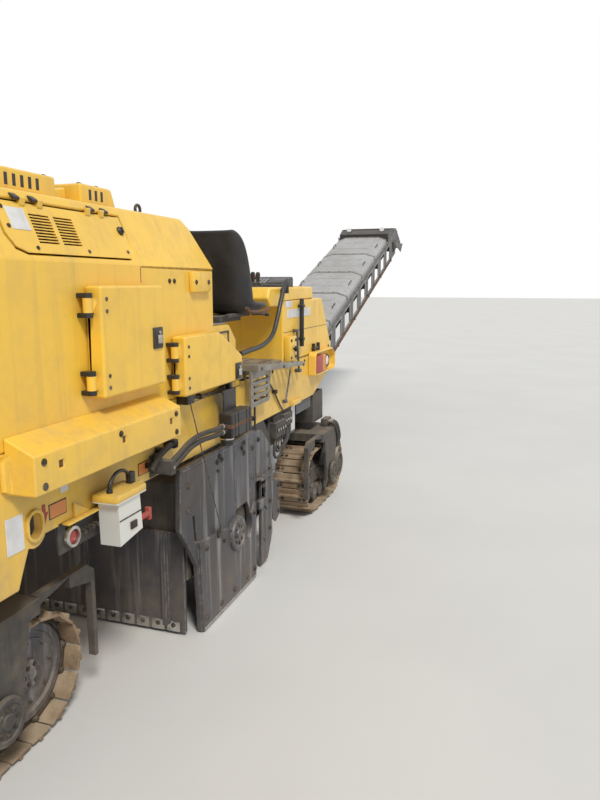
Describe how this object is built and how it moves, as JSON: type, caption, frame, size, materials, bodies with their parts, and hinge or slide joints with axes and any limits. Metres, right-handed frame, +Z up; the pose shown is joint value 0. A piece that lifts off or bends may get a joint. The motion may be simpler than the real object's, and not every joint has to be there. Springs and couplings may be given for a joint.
{
  "type": "cold planer milling machine",
  "caption": "Cold planer road milling machine on four steered tracks, with a milling drum, floating side plates and a slewing front discharge conveyor.",
  "frame": {"origin": "on the ground under the middle of the machine's overall box", "axes": "+X forwards, the way it mills and the way the discharge conveyor points; +Y to its left; +Z up"},
  "size_m": [12.7458, 2.54, 3.0036],
  "materials": {
    "machine_yellow": "gloss enamel, dusty",
    "frame_grey": "matt dark grey, dusty",
    "worn_steel": "scraped plate steel",
    "track_steel": "dusty track steel",
    "drum_steel": "rusty and polished by the cut",
    "belt_rubber": "dusty rubber",
    "cover_grey": "light grey sheet",
    "step_steel": "galvanized",
    "seat_plastic": "black moulded shell",
    "seat_vinyl": "black vinyl",
    "hose_rubber": "black hose",
    "lamp_red": "red lens in a guard",
    "box_white": "off-white",
    "rod_chrome": "polished",
    "black_tube": "black powder coat"
  },
  "bodies": {
    "body": {"chassis_walls": "machine_yellow", "deck_plate": "machine_yellow", "underframe": "machine_yellow", "rear_skirt": "machine_yellow", "nose_plate": "machine_yellow", "lift_columns": "frame_grey", "engine_block": "frame_grey", "engine_hood": "machine_yellow", "hinge_ears": "black_tube", "radiator_grille": "frame_grey", "hood_air_boxes": "machine_yellow", "side_beams": "machine_yellow", "front_tank": "machine_yellow", "control_consoles": "machine_yellow", "platform_floor": "step_steel", "seat_shells": "seat_plastic", "seat_cushions": "seat_vinyl", "access_steps": "step_steel", "grab_handles": "black_tube", "front_lamps": "lamp_red", "drum_housing": "frame_grey", "front_guards": "worn_steel", "drum_bearings": "worn_steel", "drum_drive": "frame_grey", "scraper_plate": "worn_steel", "loading_frame": "frame_grey", "loading_belt": "belt_rubber", "control_boxes": "box_white", "filter_units": "black_tube", "side_hoses": "hose_rubber"},
    "door_rear_right": {"door_rear_right": "machine_yellow"},
    "door_front_right": {"door_front_right": "machine_yellow"},
    "door_rear_left": {"door_rear_left": "machine_yellow"},
    "door_front_left": {"door_front_left": "machine_yellow"},
    "hood_flap_right": {"hood_flap_right": "machine_yellow"},
    "hood_flap_left": {"hood_flap_left": "machine_yellow"},
    "drum": {"milling_drum": "drum_steel"},
    "side_plate_right": {"side_plate_right": "worn_steel"},
    "side_plate_left": {"side_plate_left": "worn_steel"},
    "leg_front_right": {"carrier_front_right": "frame_grey", "track_front_right": "track_steel"},
    "leg_front_left": {"carrier_front_left": "frame_grey", "track_front_left": "track_steel"},
    "leg_rear_right": {"carrier_rear_right": "frame_grey", "track_rear_right": "track_steel"},
    "leg_rear_left": {"carrier_rear_left": "frame_grey", "track_rear_left": "track_steel"},
    "slew": {"slew_bracket": "frame_grey"},
    "conveyor": {"conveyor_frame": "frame_grey", "conveyor_belt": "belt_rubber", "conveyor_rollers": "worn_steel", "conveyor_cover": "cover_grey", "conveyor_head": "frame_grey"},
    "lift_barrels": {"lift_barrels": "frame_grey"},
    "lift_rods": {"lift_rods": "rod_chrome"}
  },
  "joints": [
    {"name": "drum_spin", "type": "hinge", "parent": "body", "child": "drum", "pos_m": [-3.42293, -0.445, 0.545], "axis": [0, 1, 0], "continuous": true},
    {"name": "door_rear_right_hinge", "type": "hinge", "parent": "body", "child": "door_rear_right", "pos_m": [-4.94293, -1.16, 1.755], "axis": [0, 0, -1], "range_deg": [0, 110]},
    {"name": "door_rear_left_hinge", "type": "hinge", "parent": "body", "child": "door_rear_left", "pos_m": [-4.94293, 1.16, 1.755], "axis": [0, 0, 1], "range_deg": [0, 110]},
    {"name": "door_front_right_hinge", "type": "hinge", "parent": "body", "child": "door_front_right", "pos_m": [-4.23293, -1.16, 1.5725], "axis": [0, 0, -1], "range_deg": [0, 110]},
    {"name": "door_front_left_hinge", "type": "hinge", "parent": "body", "child": "door_front_left", "pos_m": [-4.23293, 1.16, 1.5725], "axis": [0, 0, 1], "range_deg": [0, 110]},
    {"name": "hood_flap_right_hinge", "type": "hinge", "parent": "body", "child": "hood_flap_right", "pos_m": [-4.88293, -1.02963, 2.31287], "axis": [-1, 0, 0], "range_deg": [0, 100]},
    {"name": "hood_flap_left_hinge", "type": "hinge", "parent": "body", "child": "hood_flap_left", "pos_m": [-4.88293, 1.02963, 2.31287], "axis": [1, 0, 0], "range_deg": [0, 100]},
    {"name": "side_plate_right_lift", "type": "slide", "parent": "body", "child": "side_plate_right", "axis": [0, 0, 1], "range_m": [0, 0.32]},
    {"name": "side_plate_left_lift", "type": "slide", "parent": "body", "child": "side_plate_left", "axis": [0, 0, 1], "range_m": [0, 0.32]},
    {"name": "steer_front_left", "type": "hinge", "parent": "body", "child": "leg_front_left", "pos_m": [-1.47293, 0.94, 0.69], "axis": [0, 0, 1], "range_deg": [-25, 25]},
    {"name": "steer_front_right", "type": "hinge", "parent": "body", "child": "leg_front_right", "pos_m": [-1.47293, -0.94, 0.69], "axis": [0, 0, 1], "range_deg": [-25, 25]},
    {"name": "steer_rear_left", "type": "hinge", "parent": "body", "child": "leg_rear_left", "pos_m": [-5.37293, 0.77, 0.69], "axis": [0, 0, 1], "range_deg": [-25, 25]},
    {"name": "steer_rear_right", "type": "hinge", "parent": "body", "child": "leg_rear_right", "pos_m": [-5.37293, -0.77, 0.69], "axis": [0, 0, 1], "range_deg": [-25, 25]},
    {"name": "conveyor_slew", "type": "hinge", "parent": "body", "child": "slew", "pos_m": [-0.57293, 0, 1.08], "axis": [0, 0, 1], "range_deg": [-45, 45]},
    {"name": "conveyor_lift", "type": "hinge", "parent": "slew", "child": "conveyor", "pos_m": [-0.57293, 0, 0.64], "axis": [0, -1, 0], "range_deg": [-14, 10]},
    {"name": "lift_barrel_swing", "type": "hinge", "parent": "slew", "child": "lift_barrels", "pos_m": [-0.41293, 0, 0.335], "axis": [0, -1, 0], "range_deg": [-14.48, 10.36]},
    {"name": "lift_rod_stroke", "type": "slide", "parent": "lift_barrels", "child": "lift_rods", "axis": [0.9234, 0, 0.3839], "range_m": [-0.0838, 0.0602]}
  ],
  "couplings": [
    {"joint": "steer_front_right", "follows": "steer_front_left", "ratio": 1},
    {"joint": "steer_rear_right", "follows": "steer_rear_left", "ratio": 1},
    {"joint": "lift_barrel_swing", "follows": "conveyor_lift", "ratio": 1.0309},
    {"joint": "lift_rod_stroke", "follows": "conveyor_lift", "m_per_rad": 0.33901}
  ]
}
